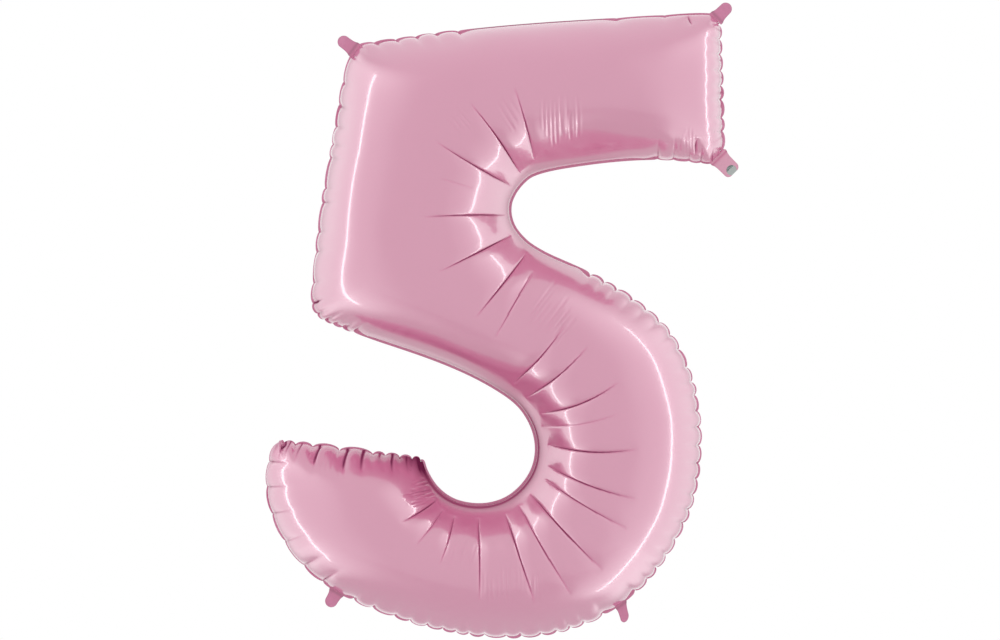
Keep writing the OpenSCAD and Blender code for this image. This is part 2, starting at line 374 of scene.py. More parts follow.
# The tail's end puckers in a few broad cells, at these shares of its length, each with the
# length and depth of its own pleat. The lone pleat runs in from the middle of a cell.
TAIL_CELLS = (
    (0.0, 10, 1.0), (0.06, 13, 1.6), (0.147, 12, 1.2), (0.25, 17, 2.6), (0.338, 9, 1.0),
    (0.574, 30, 3.2), (0.765, 26, 3.0), (0.887, 15, 1.4), (0.966, 12, 1.6), (1.0, 10, 1.2),
)
LONE_PLEAT = (0.45, 26, 2.4)
TAIL_STAND = 3.4
TAIL_CUT = 4.6
rng = np.random.default_rng(5)
cells = []
pleats = []
for start, stop, low, high, stand, cut, pleat_long, pleat_deep, weld in PUCKERED:
    lengths = rng.uniform(low, high, int((abs(stop - start)) / low) + 1)
    count = max(1, int(np.searchsorted(np.cumsum(lengths), abs(stop - start))))
    ends = np.concatenate([[0], np.cumsum(lengths[:count])])
    ends = min(start, stop) + ends / ends[-1] * abs(stop - start)
    for a, b in zip(ends[:-1], ends[1:]):
        cells.append((a, b, stand * rng.uniform(0.6, 1.5), cut * rng.uniform(0.75, 1.0), weld))
    for a in ends:
        pleats.append((a, pleat_long * rng.uniform(0.6, 1.4), pleat_deep * rng.uniform(0.5, 1.3)))
for (a, *_), (b, *_) in zip(TAIL_CELLS[:-1], TAIL_CELLS[1:]):
    stand = TAIL_STAND * min(1, (b - a) * 5)
    cells.append((TAIL_END + a * tail_width, TAIL_END + b * tail_width, stand, TAIL_CUT, SEAM))
for a, long, deep in TAIL_CELLS + (LONE_PLEAT,):
    pleats.append((TAIL_END + a * tail_width, long, deep))

# In each cell the filled foil swells out over the weld, nearly to the cut edge. Each end of the
# stroke has its length along the edge, its first and last corner, and the ribs that it moves.
SWELL_RUN = 13.0
BOW_SHARP = 0.55
ENDS = (
    (TAIL_END, trial[-1, 0], trial[-1, 1], np.arange(RIBS) > RIBS * 3 // 4),
    (BAR_END, trial[0, 1], trial[0, 0], np.arange(RIBS) < RIBS // 4),
)


def bow(part):
    """How far a cell's edge bows out at shares of its length, steep at its ends."""
    return (4 * part * (1 - part)) ** BOW_SHARP


edge_normal = np.stack([edge_way[..., 1], -edge_way[..., 0]], 2)
edge_normal /= np.linalg.norm(edge_normal, axis=2, keepdims=True)
edge_normal[:, 0] *= -np.sign((edge_normal[:, 0] * rib_span).sum(1))[:, None]
edge_normal[:, 1] *= np.sign((edge_normal[:, 1] * rib_span).sum(1))[:, None]
puffed = plan.copy()
for a, b, stand, cut, weld in cells:
    reach = max(0, weld + stand - rng.uniform(0.6, 2.8))
    at_end = [
        end for end in ENDS
        if end[0] - 1 < a and b < end[0] + np.linalg.norm(end[2] - end[1]) + 1
    ]
    if at_end:
        start, corner, other, rows = at_end[0]
        way = (other - corner) / np.linalg.norm(other - corner)
        part = np.clip(((plan - corner) @ way - (a - start)) / (b - a), 0, 1)
        near = np.exp(-(((from_line(plan, corner, other) - SEAM) / SWELL_RUN) ** 2)) * rows[:, None]
        out = np.array([way[1], -way[0]])
        out *= -np.sign(out @ (plan[rows].mean((0, 1)) - corner))
        puffed += (reach * bow(part) * near)[..., None] * out
        continue
    side = 0 if a < TAIL_END else 1
    part = np.clip((rib_s[:, side] - a) / (b - a), 0, 1)
    near = np.exp(-((in_from[side] / SWELL_RUN) ** 2))
    puffed += ((reach * bow(part))[:, None] * near)[..., None] * edge_normal[:, side][:, None]

# Creases run inwards from the notches, where the flat foil had more length than the filled
# shape needs: from, to, strength, and how far each bows to its left.
CREASES = (
    (46, 692, 17, 794, 0.8, -2), (25, 673, -46, 771, 1.0, -3), (14, 653, -95, 716, 0.9, 2),
    (-43, 650, -92, 664, 0.2, 0), (5, 612, -112, 608, 0.9, -1), (12, 583, -90, 530, 1.0, 1),
    (35, 558, -38, 464, 1.0, 1), (43, 531, -11, 434, 0.7, 0), (15, 368, 89, 453, 0.9, -4),
    (35, 349, 122, 423, 0.9, -5), (56, 326, 166, 372, 1.0, -8), (56, 308, 166, 327, 0.4, -6),
    (66, 281, 192, 276, 1.0, -7), (66, 250, 190, 205, 0.9, -5), (60, 232, 179, 162, 0.8, -3),
    (40, 211, 143, 103, 1.0, -2), (24, 194, 99, 67, 0.8, -2), (4, 182, 46, 55, 1.0, 0),
    (-35, 177, -33, 58, 0.9, 1), (-69, 179, -90, 111, 0.8, 2), (-85, 188, -125, 137, 0.6, 1),
    (-95, 201, -145, 171, 0.9, 1), (-103, 216, -141, 210, 0.4, 0), (279, 699, 281, 723, 0.8, 1),
    (268, 900, 274, 886, 0.7, 0),
)
# Bundles of fine wrinkles: middle, the way they run, spread across, number, length, strength.
WRINKLES = (
    (82, 752, 92, 54, 8, 64, 1.9), (72, 468, 54, 60, 9, 62, 1.3),
    (262, 713, 93, 32, 8, 36, 1.0), (-118, 212, 195, 34, 9, 30, 1.8),
    (12, 78, -88, 84, 13, 46, 0.9), (5, 765, 122, 26, 3, 56, 1.2),
    (-60, 742, 130, 24, 4, 26, 0.8), (-255, 257, 90, 40, 7, 34, 1.0),
    (-60, 120, -105, 40, 6, 50, 0.8), (55, 610, 215, 26, 4, 24, 1.0),
)
# How much painted shade darkens the film along its weld, by side and place: most in the notches.
WELD_SHADE = (
    (0, (26, 28, 50, 51), (0.3, 0.6, 0.6, 0.3)), (1, (8, 9, 28, 29.5), (0.3, 0.6, 0.6, 0.3)),
)
# On the inner side the painted shade reaches further in, from the stem's foot round the lower notch
# to the tail.
WIDE_SHADE_PLACES = (20, 28, 34, 44, 50, 52)
WIDE_SHADE = (0.0, 0.08, 0.27, 0.36, 0.42, 0.45)
SHADE_REACH = 22.0
# A crease is a sharp fold in a wide dent, with painted shade along a narrow line. A wrinkle is a
# shallow fold with a bulge at each side, and a pleat is a fold that is sharp only near the seam.
# Wrinkles and pleats carry a fainter line of painted shade.
FOLD_HALF = 1.3
DENT_HALF = 9.0
FOLD_DEEP = 3.0
DENT_DEEP = 2.6
SHADE_HALF = 1.1
WRINKLE_HALF = 1.6
WRINKLE_SHADE = 0.12
PLEAT_SHARP = 1.8
PLEAT_DENT = 8.0
PLEAT_SHADE = 0.32
SHARP_TO = 16.0


def beside(points, x0, z0, x1, z1, bowed):
    """Distance from a bowed line, to its left, and share of the way along it."""
    a, b = np.array([x0, z0], float), np.array([x1, z1], float)
    way = (b - a) / np.linalg.norm(b - a)
    off = points - a
    along = off @ way / np.linalg.norm(b - a)
    reach = np.clip(along, 0, 1)
    return way[0] * off[..., 1] - way[1] * off[..., 0] - 4 * bowed * reach * (1 - reach), along


def swell(along):
    """A crease's depth along its length: soon full, then slowly running out."""
    return np.sin(math.pi * np.clip(along, 0, 1) ** 0.75) ** 0.7


def foil_panel(facing, seed):
    """Points, triangles and painted shade of one filled panel. facing is -1 in front, 1 behind."""
    own_rng = np.random.default_rng(seed)
    creases = np.array(CREASES, float)
    if facing > 0:
        creases[:, :4] += own_rng.normal(0, 3.5, (len(creases), 4))
        creases[:, 4] *= own_rng.uniform(0.55, 1.1, len(creases))
    shape = np.concatenate([puffed, rise[..., None]], 2)

    # The points nearest a crease move along the stroke onto it, so that the fold is one line.
    on_fold = np.zeros((RIBS, COLUMNS), bool)
    for x0, z0, x1, z1, _, bowed in creases:
        side, along = beside(shape[..., :2], x0, z0, x1, z1, bowed)
        crossing = (side[:-1] * side[1:] <= 0) & (np.abs(side[:-1] - side[1:]) < 8)
        crossing &= (along[:-1] > 0) & (along[:-1] < 1) & ~on_fold[:-1] & ~on_fold[1:]
        i, j = np.nonzero(crossing)
        part = (side[i, j] / (side[i, j] - side[i + 1, j] + 1e-12))[:, None]
        crossed = shape[i, j] + part * (shape[i + 1, j] - shape[i, j])
        nearest = i + (part[:, 0] > 0.5)
        shape[nearest, j] = crossed
        on_fold[nearest, j] = True

    points = np.stack([shape[..., 0], facing * shape[..., 2], shape[..., 1]], 2)
    normal = np.cross(np.gradient(points, axis=0), np.gradient(points, axis=1))
    normal /= np.linalg.norm(normal, axis=2, keepdims=True) + 1e-12
    normal *= facing * np.sign(normal[RIBS // 2, COLUMNS // 2, 1])

    flat = shape[..., :2]
    deep = np.zeros((RIBS, COLUMNS))
    fold = np.zeros((RIBS, COLUMNS))
    for x0, z0, x1, z1, strength, bowed in creases:
        side, along = beside(flat, x0, z0, x1, z1, bowed)
        level = strength * swell(along)
        sharp = level * np.exp(-np.abs(side) / FOLD_HALF)
        deep += FOLD_DEEP * sharp + DENT_DEEP * level * np.exp(-(side / DENT_HALF) ** 2)
        # Painted shade along the crease's line.
        fold += np.exp(-(side / SHADE_HALF) ** 2) * level
    for x, z, way, spread, count, long, strength in WRINKLES:
        line, over = heading(way), across(way)
        for k in range(count):
            middle = np.array([x, z])
            middle = middle + over * spread * ((k + own_rng.uniform(0.2, 0.8)) / count - 0.5)
            middle = middle + line * own_rng.uniform(-0.2, 0.2) * long
            half = line * long * own_rng.uniform(0.3, 0.6)
            side, along = beside(flat, *(middle - half), *(middle + half), own_rng.uniform(-1, 1))
            level = strength * swell(along) * own_rng.uniform(0.35, 0.8)
            deep += level * np.exp(-(side / WRINKLE_HALF) ** 2)
            deep -= 0.5 * level * np.exp(-((np.abs(side) - 3) / WRINKLE_HALF) ** 2)
            fold += WRINKLE_SHADE * level * np.exp(-(side / 1.2) ** 2)

    # Pleats from the seam's cell ends: along a rib from either side, along a column from an end.
    for at, long, pleat_deep in pleats:
        if at < TAIL_END - 1 or TAIL_END + tail_width + 1 < at < BAR_END:
            which = 0 if at < TAIL_END else 1
            near = rib_s[np.abs(rib_s[:, which] - at).argmin(), which]
            side = np.abs(rib_s[:, which] - near)[:, None]
            gone = in_from[which]
        else:
            row = -1 if at < BAR_END else 0
            width = np.linalg.norm(plan[row] - plan[row, 0], axis=1)
            way = at - TAIL_END - SEAM if at < BAR_END else width[-1] - (at - BAR_END - SEAM)
            near = width[np.abs(width - way).argmin()]
            side = np.abs(width - near)[None, :] * np.ones((RIBS, 1))
            gone = from_line(plan, plan[row, 0], plan[row, -1]) + 400 * (
                np.abs(np.arange(RIBS) - (RIBS - 1 if row else 0)) > RIBS // 4
            )[:, None]
        level = pleat_deep * np.exp(-(gone / long) ** 2)
        sharp = level * np.exp(-(np.maximum(gone - SHARP_TO, 0) / 8) ** 2)
        deep += sharp * np.exp(-side / PLEAT_SHARP)
        deep += 0.7 * level * np.exp(-(side / PLEAT_DENT) ** 2)
        fold += PLEAT_SHADE * sharp * np.exp(-(side / FOLD_HALF) ** 2)

    # Slow unevenness of blown film, none at the seam.
    uneven = np.zeros((RIBS, COLUMNS))
    for _ in range(7):
        turned = own_rng.uniform(0, 180)
        wave = own_rng.uniform(60, 150)
        uneven += own_rng.uniform(0.1, 0.25) * np.sin(
            flat @ heading(turned) * 2 * math.pi / wave + own_rng.uniform(0, 6.3)
        )
    deep += uneven * np.clip(rise / 60, 0, 1)
    # Painted shade along the weld, most of all round the lower notch and on the tail's end beside
    # it.
    for side, places, levels in WELD_SHADE:
        level = np.interp(rib_places[side], places, levels)[:, None]
        gap = in_from[side] - weld_width(rib_s[:, side])[:, None]
        fold += level * (0.35 * np.exp(-((gap / 1.8) ** 2)) + 0.3 * np.exp(-((gap / 7) ** 2)))
    wide_shade = np.interp(rib_places[0], WIDE_SHADE_PLACES, WIDE_SHADE)
    fold += wide_shade[:, None] * np.exp(-((in_from[0] / SHADE_REACH) ** 2))
    end_gap = from_line(plan, *end_edges[1])
    towards_notch = 1 - in_from[0] / (in_from[0] + in_from[1])
    end_ribs = ENDS[0][-1][:, None]
    fold += (0.3 + 0.4 * towards_notch ** 2) * np.exp(-((end_gap / SHADE_REACH) ** 2)) * end_ribs
    deep *= np.clip(rise / 12, 0, 1)
    points = points - normal * deep[..., None]

    number = np.arange(RIBS * COLUMNS).reshape(RIBS, COLUMNS)
    a, b, c, d = number[:-1, :-1], number[1:, :-1], number[1:, 1:], number[:-1, 1:]
    cross_way = on_fold[1:, :-1] & on_fold[:-1, 1:] & ~(on_fold[:-1, :-1] & on_fold[1:, 1:])
    first = np.where(cross_way[..., None], np.stack([a, b, d], 2), np.stack([a, b, c], 2))
    second = np.where(cross_way[..., None], np.stack([b, c, d], 2), np.stack([a, c, d], 2))
    triangles = np.concatenate([first.reshape(-1, 3), second.reshape(-1, 3)])
    return points.reshape(-1, 3), triangles, np.clip(fold, 0, 1).ravel()


# ---------------------------------------------------------------- foil panels
# Balloon foil is nylon film, vapour-coated with aluminium inside and printed pastel pink outside.
# The ink is thin and glossy, so the metal under it mirrors the studio softly through the pink.
# Two webs of it, face to face, are swollen by the gas into the front and the back panel.


def linear(colour):
    """An sRGB hex colour as linear RGBA."""
    parts = [int(colour[k:k + 2], 16) / 255 for k in (1, 3, 5)]
    return tuple(p / 12.92 if p <= 0.04045 else ((p + 0.055) / 1.055) ** 2.4 for p in parts) + (1,)


def add_node(tree, kind, settings=None, links=None):
    """Adds a node, sets its properties and sockets, and links sockets to other nodes' outputs."""
    node = tree.nodes.new(kind)
    for key, value in (settings or {}).items():
        if isinstance(key, str) and hasattr(node, key):
            setattr(node, key, value)
        else:
            node.inputs[key].default_value = value
    for key, output in (links or {}).items():
        tree.links.new(output, node.inputs[key])
    return node


def new_material(name):
    """A material with an empty node tree, and that tree."""
    made = bpy.data.materials.new(name)
    made.use_nodes = True
    made.node_tree.nodes.clear()
    return made, made.node_tree


# The metal under the ink is a soft mirror, and the film's glossy face over it a sharper one.
# Painted shade in creases, wrinkles, pleats and along the welds darkens the ink towards plum and
# takes its gloss.
printed_foil, tree = new_material("printed_foil")
where = add_node(tree, "ShaderNodeTexCoord").outputs["Object"]
cloudy = add_node(tree, "ShaderNodeTexNoise", {"Scale": 7.0, "Detail": 2.0}, {"Vector": where})
ink = add_node(
    tree, "ShaderNodeMix",
    {"data_type": "RGBA", 6: linear("#E081A9"), 7: linear("#DA79A2")},
    {0: cloudy.outputs[0]},
)
folded = add_node(tree, "ShaderNodeAttribute", {"attribute_name": "fold"}).outputs["Fac"]
shade_weight = add_node(tree, "ShaderNodeMapRange", {"From Min": 0.25}, {"Value": folded})
shaded_ink = add_node(
    tree, "ShaderNodeMix",
    {"data_type": "RGBA", 7: linear("#7A2A52")},
    {0: shade_weight.outputs[0], 6: ink.outputs[2]},
)
gloss = add_node(
    tree, "ShaderNodeMapRange", {"From Max": 0.6, "To Min": 1.0, "To Max": 0.0}, {"Value": folded}
)
mirror = add_node(
    tree, "ShaderNodeMapRange", {"From Max": 0.6, "To Min": 0.5, "To Max": 0.0}, {"Value": folded}
)
# Grain of the drawn film and its ink, drawn coarser than the real one, about 1.2 mm across, and
# only strong enough to soften the gloss.
grain = add_node(tree, "ShaderNodeTexNoise", {"Scale": 850.0, "Detail": 3.0}, {"Vector": where})
relief = add_node(
    tree, "ShaderNodeBump", {"Strength": 0.05, "Distance": 0.0004}, {"Height": grain.outputs[0]}
)
rough = add_node(
    tree, "ShaderNodeMapRange", {"To Min": 0.2, "To Max": 0.27}, {"Value": cloudy.outputs[0]}
)
film = add_node(
    tree, "ShaderNodeBsdfPrincipled",
    {"Metallic": 0.0, "IOR": 2.4, "Coat Roughness": 0.055, "Coat IOR": 1.75},
    {"Base Color": shaded_ink.outputs[2], "Roughness": rough.outputs[0], "Normal": relief.outputs[0],
     "Coat Weight": gloss.outputs[0], "Specular IOR Level": mirror.outputs[0]},
)
add_node(tree, "ShaderNodeOutputMaterial", links={"Surface": film.outputs[0]})

# The same film where the sealing bar has pressed and heated it: duller, and its ink deeper, partly
# for its two welded plies and partly as painted shade. Painted shade darkens it further towards
# plum.
sealed_foil, tree = new_material("sealed_foil")
where = add_node(tree, "ShaderNodeTexCoord").outputs["Object"]
pressed = add_node(tree, "ShaderNodeTexNoise", {"Scale": 160.0, "Detail": 2.0}, {"Vector": where})
ink = add_node(
    tree, "ShaderNodeMix",
    {"data_type": "RGBA", 6: linear("#DC80AA"), 7: linear("#D0719D")},
    {0: pressed.outputs[0]},
)
folded = add_node(tree, "ShaderNodeAttribute", {"attribute_name": "fold"}).outputs["Fac"]
shaded_ink = add_node(
    tree, "ShaderNodeMix",
    {"data_type": "RGBA", 7: linear("#7A2A52")},
    {0: folded, 6: ink.outputs[2]},
)
relief = add_node(
    tree, "ShaderNodeBump", {"Strength": 0.2, "Distance": 0.0006}, {"Height": pressed.outputs[0]}
)
weld = add_node(
    tree, "ShaderNodeBsdfPrincipled",
    {"IOR": 1.9, "Roughness": 0.3},
    {"Base Color": shaded_ink.outputs[2], "Normal": relief.outputs[0]},
)
add_node(tree, "ShaderNodeOutputMaterial", links={"Surface": weld.outputs[0]})


def new_piece(name, points, faces, materials, fold):
    """A mesh object from points in millimetres on the digit, smooth all over, with its painted
    shade.
    """
    mesh = bpy.data.meshes.new(name)
    points = (np.asarray(points, float) + row_shift) * MM
    faces = np.asarray(faces)
    mesh.vertices.add(len(points))
    mesh.vertices.foreach_set("co", points.ravel())
    mesh.loops.add(faces.size)
    mesh.loops.foreach_set("vertex_index", faces.ravel().astype(np.int32))
    mesh.polygons.add(len(faces))
    starts = np.arange(0, faces.size, faces.shape[1], dtype=np.int32)
    mesh.polygons.foreach_set("loop_start", starts)
    mesh.update(calc_edges=True)
    mesh.polygons.foreach_set("use_smooth", np.ones(len(faces), bool))
    level = mesh.attributes.new("fold", "FLOAT", "POINT")
    level.data.foreach_set("value", np.asarray(fold, np.float32).ravel())
    for material in materials:
        mesh.materials.append(material)
    mesh.validate()
    made = bpy.data.objects.new(name, mesh)
    bpy.context.scene.collection.objects.link(made)
    return made


# The digit's own millimetres start elsewhere than the frame's, so every piece is shifted.
row_shift = np.array([
    panel_low.x / MM - edge_line[:, 0].min(), 0, panel_low.z / MM - edge_line[:, 1].min()
])
for side_name, facing, seed in (("front", -1, 11), ("back", 1, 23)):
    points, triangles, fold = foil_panel(facing, seed)
    if facing > 0:
        triangles = triangles[:, ::-1]
    skin = new_piece(side_name + "_foil", points, triangles, [printed_foil], fold)
    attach(skin, "balloon")
    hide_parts(side_name + "_panel")

# ---------------------------------------------------------------- heat seal
# Where the two webs are welded together, a flat margin of both films runs round the digit.
# On outward bends it puckers into scallops, because its cut edge is longer than its weld.
SEAL_STEP = 1.2
SEAL_ACROSS = 6
SEAL_TUCK = 1.3
PLIES_HALF = 0.3
CELL_REACH = 12
ROOT_EASE = 6
around = np.arange(0, edge_total, edge_total / round(edge_total / SEAL_STEP))
closed_run = np.append(edge_run, edge_total)
closed_line = np.vstack([edge_line, edge_line[:1]])
rim = np.stack([np.interp(around, closed_run, closed_line[:, k]) for k in (0, 1)], 1)
tangent = sum(np.roll(rim, -k, 0) - np.roll(rim, k, 0) for k in (1, 2, 3))
tangent /= np.linalg.norm(tangent, axis=1, keepdims=True)
outward = np.stack([tangent[:, 1], -tangent[:, 0]], 1)
stand_out = np.zeros(len(around))
tilt = np.zeros(len(around))
in_cell = np.zeros(len(around), bool)
for a, b, stand, cut, _ in cells:
    here = (around >= a) & (around <= b)
    part = (around[here] - a) / (b - a)
    bowed = bow(part)
    stand_out[here] = stand * bowed - cut * (1 - bowed)
    tilt[here] = rng.choice([-1, 1]) * rng.uniform(0.4, 1.5) * np.sin(math.pi * part)
    in_cell |= here
    for end in (a, b):
        gap = np.abs(around - end)
        beyond = (gap < CELL_REACH) & ~in_cell
        stand_out[beyond] = np.minimum(stand_out[beyond], -cut * np.exp(-gap[beyond] / 3))
# The two bottom tabs stand square on the outer edge, and the seal lies flat at every root.
bottom_seats = {}
for label, guide in (("bottom_right", 40), ("bottom_left", 46)):
    run_on = GUIDES[guide + 1, 1] - GUIDES[guide - 1, 1]
    angle = math.degrees(math.atan2(run_on[1], run_on[0])) + 90
    seat = rail(1, np.array([guide - 1.0]))[0] + heading(angle) * (FOLD_GAP / 2 + 0.2)
    bottom_seats[label] = (seat, angle)
ROOTS = (
    (inner(1.5), TAB_W), (inner(14.5), TAB_W), (outer(1.5), TAIL_W),
    (outer(39), NARROW_TAB_W), (outer(45), TAB_W),
)
for at, width in ROOTS:
    ease = np.clip((np.abs(around - at) - width / 2) / ROOT_EASE, 0, 1)
    stand_out *= ease
    tilt *= ease
level_in = np.linspace(0, 1, SEAL_ACROSS)
at_end = (around > BAR_END) | ((around > TAIL_END) & (around < TAIL_END + tail_width))
tuck = np.where(at_end, SEAM, weld_width(around)) + SEAL_TUCK
depth_in = -stand_out[:, None] * (1 - level_in) + tuck[:, None] * level_in
flat_seal = rim[:, None] - outward[:, None] * depth_in[:, :, None]
wave = tilt[:, None] * (1 - level_in) ** 1.5
front_face = np.stack([flat_seal[..., 0], wave - PLIES_HALF, flat_seal[..., 1]], 2)
back_face = np.stack([flat_seal[..., 0], wave + PLIES_HALF, flat_seal[..., 1]], 2)
cut_edge = np.stack([
    rim[:, 0] + outward[:, 0] * (stand_out + PLIES_HALF / 2), tilt,
    rim[:, 1] + outward[:, 1] * (stand_out + PLIES_HALF / 2),
], 1)[:, None]
ring = np.concatenate([front_face[:, ::-1], cut_edge, back_face], 1)
number = np.arange(ring.shape[0] * ring.shape[1]).reshape(ring.shape[:2])
ahead = np.roll(number, -1, 0)
over = np.roll(number, -1, 1)
both = np.roll(ahead, -1, 1)
quads = np.stack([number, over, both, ahead], 2).reshape(-1, 4)
# Painted shade on the seal: darkest where its cut edge draws in to the filled foil's edge, and
# along narrow welds.
shade = np.exp(-((stand_out + tuck - SEAL_TUCK) / 1.5) ** 2) + 0.5 * (tuck < NARROW_WELD + 1.6)
shade = np.clip(0.5 * shade, 0, 0.5)[:, None] * np.ones(ring.shape[:2])
seal = new_piece("heat_seal", ring.reshape(-1, 3), quads, [sealed_foil], shade)
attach(seal, "balloon")

# ---------------------------------------------------------------- hanging tabs
# Tongues of the same two plies, left on at the die cut to tie or hang the balloon by.
# They fold on a living hinge at the seal, and their cut edge is welded too.
TAB_ROWS = 44
TAB_ACROSS = 15
ROOT_TUCK = 4.0
ROOT_FLARE = 2.6
FLARE_RUN = 4.0


def film_plate(name, root, angle, half_widths, runs, lean, near, far, curl, materials):
    """One ply of a tab: a thin closed plate round a gently curled middle surface."""
    v = np.sin(np.linspace(-math.pi / 2, math.pi / 2, TAB_ACROSS))[None]
    run_on = runs[:, None] * np.ones_like(v)
    side = half_widths[:, None] * v + math.tan(math.radians(lean)) * np.maximum(run_on, 0)
    ground = root + run_on[..., None] * heading(angle) + side[..., None] * across(angle)
    ease = np.clip(run_on / runs[-1], 0, 1)
    sway = curl * (ease ** 2 - 0.35 * ease * (v * 0.9) ** 2 + 0.12 * np.sin(run_on / 3.1 + v * 2))
    sheets = [
        np.stack([ground[..., 0], sway * ease ** 0.5 + level, ground[..., 1]], 2)
        for level in (near, far)
    ]
    count = TAB_ROWS * TAB_ACROSS
    number = np.arange(count).reshape(TAB_ROWS, TAB_ACROSS)
    a, b, c, d = number[:-1, :-1], number[1:, :-1], number[1:, 1:], number[:-1, 1:]
    top = np.stack([a, b, c, d], 2).reshape(-1, 4)
    loop = np.concatenate([
        number[0, :-1], number[:-1, -1], number[-1, :0:-1], number[:0:-1, 0]
    ])
    after = np.roll(loop, -1)
    wall = np.stack([loop, after, after + count, loop + count], 1)
    faces = np.concatenate([top, top[:, ::-1] + count, wall])
    # Painted shade: a little along the tab's rim and its tip, most at its root.
    rim_near = 1 - np.abs(v) * np.ones_like(run_on)
    fold = 0.2 * np.exp(-(rim_near * half_widths[:, None] / 0.9) ** 2)
    fold += 0.2 * np.exp(-((runs[-1] - run_on) / 0.9) ** 2) + 0.4 * np.exp(-(run_on / 2.2) ** 2)
    fold = np.concatenate([fold.ravel(), fold.ravel()])
    points = np.concatenate([s.reshape(-1, 3) for s in sheets])
    made = new_piece(name, points, faces, materials, np.clip(fold, 0, 0.8))
    bpy.ops.object.select_all(action="DESELECT")
    bpy.context.view_layer.objects.active = made
    made.select_set(True)
    bpy.ops.object.mode_set(mode="EDIT")
    bpy.ops.mesh.select_all(action="SELECT")
    bpy.ops.mesh.normals_make_consistent(inside=False)
    bpy.ops.object.mode_set(mode="OBJECT")
    bpy.ops.object.shade_smooth_by_angle(angle=math.radians(40))
    return made


def fold_at(piece):
    """Bakes the piece's placement into its mesh."""
    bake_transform(piece)


def tab_shape(width, long, tip):
    """Runs along a tab and its half width at each, with a flared root and a rounded tip."""
    ease = np.linspace(0, 1, TAB_ROWS)
    runs = -ROOT_TUCK + (long + ROOT_TUCK) * (1 - (1 - ease) ** 1.8)
    rounding = np.clip(runs - (long - tip), 0, tip * 0.9995)
    half = width / 2 - tip + np.sqrt(tip ** 2 - rounding ** 2)
    return runs, half + ROOT_FLARE * np.exp(-np.maximum(runs, 0) / FLARE_RUN)


TABS = (
    ("top_left_tab", *TOP_LEFT, TAB_W, 26.0, 0, 2.5),
    ("top_right_tab", *TOP_RIGHT, TAB_W, 26.0, 0, -2.0),
    ("bottom_left_tab", *bottom_seats["bottom_left"], TAB_W, 23.0, 0, 2.2),
    ("bottom_right_tab", *bottom_seats["bottom_right"], NARROW_TAB_W, 23.0, -20, -1.6),
)
tab_plies = {"front": [], "back": []}
for body, root, angle, width, long, lean, curl in TABS:
    runs, half = tab_shape(width, long, width / 2)
    for side_name, near, far in (("front", -0.32, -0.03), ("back", 0.03, 0.32)):
        ply = film_plate(
            body + "_" + side_name, root, angle, half, runs, lean, near, far, curl, [sealed_foil]
        )
        fold_at(ply)
        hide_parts(body + "_" + side_name + "_ply")
        tab_plies[side_name].append(ply)

# ---------------------------------------------------------------- filling tail
# A wider tongue that holds the mouth of the valve. A round notch is punched out of its front
# ply only, so that a straw finds the valve, and the bare aluminium inside shows there.
bare_foil, tree = new_material("bare_foil")
where = add_node(tree, "ShaderNodeTexCoord").outputs["Object"]
streak = add_node(tree, "ShaderNodeTexNoise", {"Scale": 240.0, "Detail": 2.0}, {"Vector": where})
relief = add_node(
    tree, "ShaderNodeBump", {"Strength": 0.6, "Distance": 0.0008}, {"Height": streak.outputs[0]}
)
metal = add_node(
    tree, "ShaderNodeBsdfPrincipled",
    {"Base Color": linear("#AEB3B1"), "Metallic": 1.0, "Roughness": 0.3},
    {"Normal": relief.outputs[0]},
)
add_node(tree, "ShaderNodeOutputMaterial", links={"Surface": metal.outputs[0]})

TAIL_L = 30.5
TAIL_CORNER = 7.0
NOTCH_R = 7.5
NOTCH_IN = 5.7
tail_root, tail_angle = TAIL
runs, half = tab_shape(TAIL_W, TAIL_L, TAIL_CORNER)
for side_name, near, far, inner_face in (("front", -0.5, -0.22, 1), ("back", 0.22, 0.5, -1)):
    ply = film_plate(
        "filling_tail_" + side_name, tail_root, tail_angle, half, runs, 0, near, far, 0.0,
        [printed_foil, bare_foil],
    )
    if side_name == "front":
        middle = tail_root + heading(tail_angle) * (TAIL_L - NOTCH_IN)
        bpy.ops.mesh.primitive_cylinder_add(
            vertices=64, radius=NOTCH_R * MM, depth=0.02,
            location=tuple((np.array([middle[0], 0, middle[1]]) + row_shift) * MM),
            rotation=(math.radians(90), 0, 0),
        )
        punch = bpy.context.object
        bpy.ops.object.select_all(action="DESELECT")
        bpy.context.view_layer.objects.active = ply
        ply.select_set(True)
        cut = ply.modifiers.new("notch", "BOOLEAN")
        cut.object = punch
        cut.solver = "EXACT"
        bpy.ops.object.modifier_apply(modifier=cut.name)
        bpy.data.objects.remove(punch)
    for face in ply.data.polygons:
        face.material_index = 1 if face.normal.y * inner_face > 0.5 else 0
    fold_at(ply)
    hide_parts("filling_tail_" + side_name + "_ply")
    tab_plies[side_name].append(ply)

# ---------------------------------------------------------------- valve
# Two strips of clear polyethylene, welded along their sides. They lie flat together from the
# tail's mouth into the balloon, and the gas itself presses them shut.
valve_polyethylene, tree = new_material("valve_polyethylene")
where = add_node(tree, "ShaderNodeTexCoord").outputs["Object"]
haze = add_node(tree, "ShaderNodeTexNoise", {"Scale": 320.0, "Detail": 1.0}, {"Vector": where})
soft = add_node(
    tree, "ShaderNodeMapRange", {"To Min": 0.12, "To Max": 0.3}, {"Value": haze.outputs[0]}
)
clear = add_node(
    tree, "ShaderNodeBsdfPrincipled",
    {"Base Color": linear("#E4EBEA"), "IOR": 1.51, "Transmission Weight": 0.9},
    {"Roughness": soft.outputs[0]},
)
add_node(tree, "ShaderNodeOutputMaterial", links={"Surface": clear.outputs[0]})
for node in ("valve_inner_front_film", "valve_inner_back_film",
             "valve_mouth_front_film", "valve_mouth_back_film"):
    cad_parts[node].material_slots[0].material = valve_polyethylene

